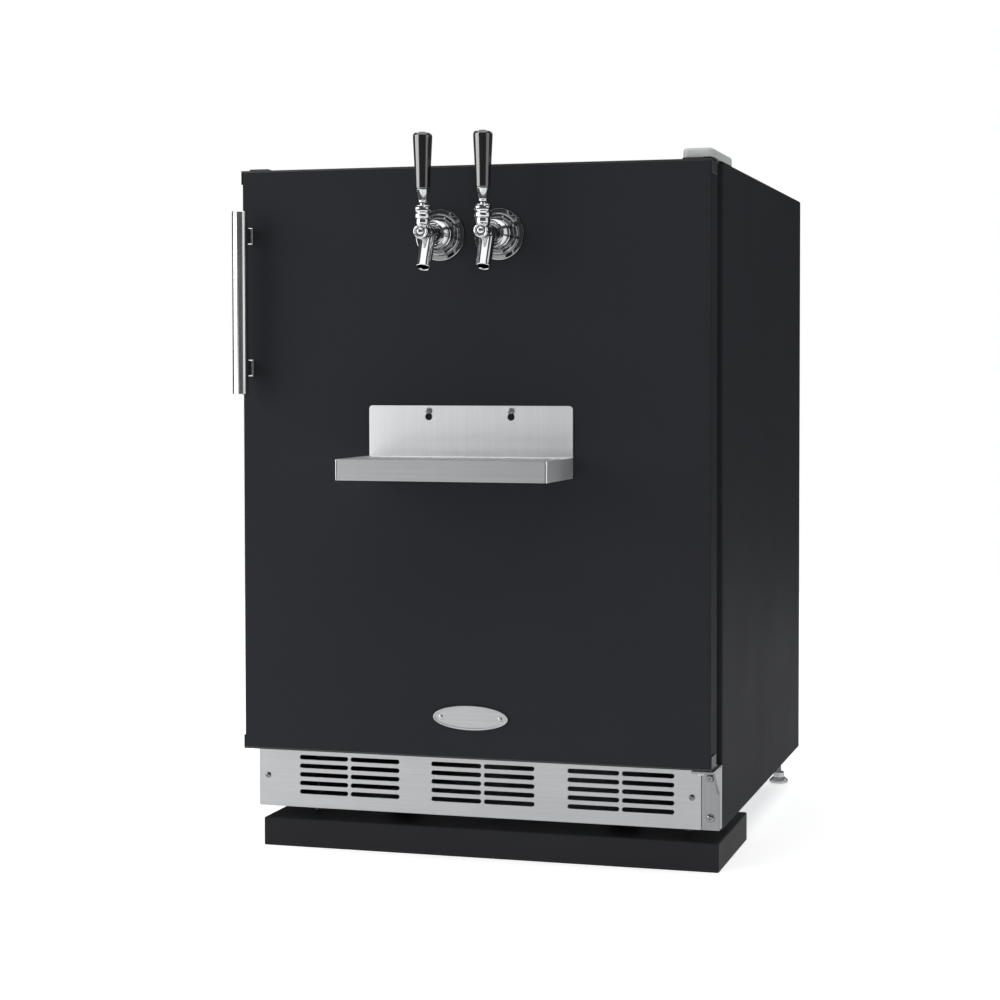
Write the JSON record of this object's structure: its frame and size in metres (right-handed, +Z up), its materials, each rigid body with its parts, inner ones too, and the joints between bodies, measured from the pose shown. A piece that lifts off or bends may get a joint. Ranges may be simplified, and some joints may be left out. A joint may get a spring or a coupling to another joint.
{
  "type": "kegerator",
  "caption": "Undercounter cold cabinet with a hinged insulated door that carries beer taps, a lift-off drip tray and a tubular pull, over a louvred kickplate and plinth.",
  "frame": {"origin": "on the floor, under the middle of the whole object's box at rest", "axes": "+Z up; +X to the right of someone facing the door; +Y from the door to the back"},
  "size_m": [0.6, 0.7544, 0.8908],
  "materials": {
    "black_paint": "satin",
    "black_steel": "satin",
    "galvanised": "matte",
    "stainless": "satin",
    "handle_steel": "satin",
    "chrome": "gloss",
    "fastener_steel": "satin",
    "white_plastic": "satin",
    "foam": "matte",
    "black_plastic": "satin",
    "grey_plastic": "satin",
    "gloss_black": "gloss",
    "nylon": "satin",
    "rubber": "matte",
    "machine_black": "gloss",
    "copper": "satin",
    "lens": "gloss"
  },
  "bodies": {
    "cabinet": {"cabinet_shell": "black_paint", "toe_kick": "black_steel", "cabinet_back_panel": "galvanised", "machine_bay_plate": "galvanised", "base_plate": "galvanised", "rear_grille": "galvanised", "condenser_fan_shroud": "galvanised", "upper_hinge_bracket": "galvanised", "foot_nuts": "galvanised", "kickplate": "stainless", "lower_hinge_bracket": "stainless", "keg_floor_plate": "stainless", "front_screws": "fastener_steel", "hinge_pins": "fastener_steel", "cabinet_liner": "white_plastic", "evaporator_cover": "white_plastic", "thermostat_housing": "white_plastic", "cabinet_foam": "foam", "mains_gland": "black_plastic", "upper_hinge_cover": "grey_plastic", "gas_line_grommet": "rubber", "compressor_mounts": "rubber", "compressor": "machine_black", "fan_motors": "machine_black", "condenser_coil": "copper", "evaporator_coil": "copper", "lamp_lens": "lens"},
    "door": {"door_skin": "black_paint", "door_liner": "white_plastic", "door_foam": "foam", "door_gasket": "rubber", "door_top_cap": "black_plastic", "door_bottom_cap": "black_plastic", "hinge_bushes": "nylon", "handle_bar": "handle_steel", "handle_posts": "handle_steel", "badge_plate": "stainless", "badge_rivets": "fastener_steel", "tap_flanges": "chrome", "tap_shanks": "chrome", "shank_nuts": "chrome", "tap_collars": "chrome", "tap_bodies": "chrome", "tray_screws": "fastener_steel"},
    "drip_tray": {"drip_tray": "stainless"},
    "drip_grid": {"drip_grid": "stainless"},
    "condenser_fan": {"condenser_fan_blade": "black_plastic"},
    "evaporator_fan": {"evaporator_fan_blade": "black_plastic"},
    "thermostat_knob": {"thermostat_knob": "white_plastic"},
    "lamp_rocker": {"lamp_rocker": "black_plastic"},
    "tap_lever_left": {"tap_lever_left": "chrome", "tap_handle_left": "gloss_black"},
    "tap_plunger_left": {"tap_plunger_left": "nylon"},
    "tap_lever_right": {"tap_lever_right": "chrome", "tap_handle_right": "gloss_black"},
    "tap_plunger_right": {"tap_plunger_right": "nylon"},
    "foot_front_left": {"levelling_foot_front_left": "fastener_steel"},
    "foot_front_right": {"levelling_foot_front_right": "fastener_steel"},
    "foot_rear_left": {"levelling_foot_rear_left": "fastener_steel"},
    "foot_rear_right": {"levelling_foot_rear_right": "fastener_steel"}
  },
  "joints": [
    {"name": "door_swing", "type": "hinge", "parent": "cabinet", "child": "door", "pos_m": [0.282, -0.24325, 0.5], "axis": [0, 0, 1], "range_deg": [0, 120]},
    {"name": "drip_tray_lift", "type": "slide", "parent": "door", "child": "drip_tray", "axis": [0, 0, 1], "range_m": [0, 0.007]},
    {"name": "drip_grid_lift", "type": "slide", "parent": "drip_tray", "child": "drip_grid", "axis": [0, 0, 1], "range_m": [0, 0.03]},
    {"name": "condenser_fan_spin", "type": "hinge", "parent": "cabinet", "child": "condenser_fan", "pos_m": [-0.09, 0.29325, 0.165], "axis": [1, 0, 0], "continuous": true},
    {"name": "evaporator_fan_spin", "type": "hinge", "parent": "cabinet", "child": "evaporator_fan", "pos_m": [0.085, 0.29825, 0.69], "axis": [0, 1, 0], "continuous": true},
    {"name": "thermostat_turn", "type": "hinge", "parent": "cabinet", "child": "thermostat_knob", "pos_m": [0.142, -0.15, 0.798], "axis": [0, -1, 0], "range_deg": [-270, 0]},
    {"name": "lamp_rocker_tilt", "type": "hinge", "parent": "cabinet", "child": "lamp_rocker", "pos_m": [0.2, -0.146, 0.798], "axis": [1, 0, 0], "range_deg": [-14, 0]},
    {"name": "tap_lever_left_pull", "type": "hinge", "parent": "door", "child": "tap_lever_left", "pos_m": [-0.0375, -0.32825, 0.796], "axis": [1, 0, 0], "range_deg": [0, 20]},
    {"name": "tap_plunger_left_slide", "type": "slide", "parent": "door", "child": "tap_plunger_left", "axis": [0, 1, 0], "range_m": [0, 0.0073]},
    {"name": "tap_lever_right_pull", "type": "hinge", "parent": "door", "child": "tap_lever_right", "pos_m": [0.0375, -0.32825, 0.796], "axis": [1, 0, 0], "range_deg": [0, 20]},
    {"name": "tap_plunger_right_slide", "type": "slide", "parent": "door", "child": "tap_plunger_right", "axis": [0, 1, 0], "range_m": [0, 0.0073]},
    {"name": "foot_front_left_turn", "type": "hinge", "parent": "cabinet", "child": "foot_front_left", "pos_m": [-0.248, -0.15155, 0.03], "axis": [0, 0, 1], "continuous": true},
    {"name": "foot_front_right_turn", "type": "hinge", "parent": "cabinet", "child": "foot_front_right", "pos_m": [0.248, -0.15155, 0.03], "axis": [0, 0, 1], "continuous": true},
    {"name": "foot_rear_left_turn", "type": "hinge", "parent": "cabinet", "child": "foot_rear_left", "pos_m": [-0.274, 0.35325, 0.03], "axis": [0, 0, 1], "continuous": true},
    {"name": "foot_rear_right_turn", "type": "hinge", "parent": "cabinet", "child": "foot_rear_right", "pos_m": [0.274, 0.35325, 0.03], "axis": [0, 0, 1], "continuous": true}
  ],
  "couplings": [
    {"joint": "tap_plunger_left_slide", "follows": "tap_lever_left_pull", "m_per_rad": 0.0205},
    {"joint": "tap_plunger_right_slide", "follows": "tap_lever_right_pull", "m_per_rad": 0.0205}
  ]
}
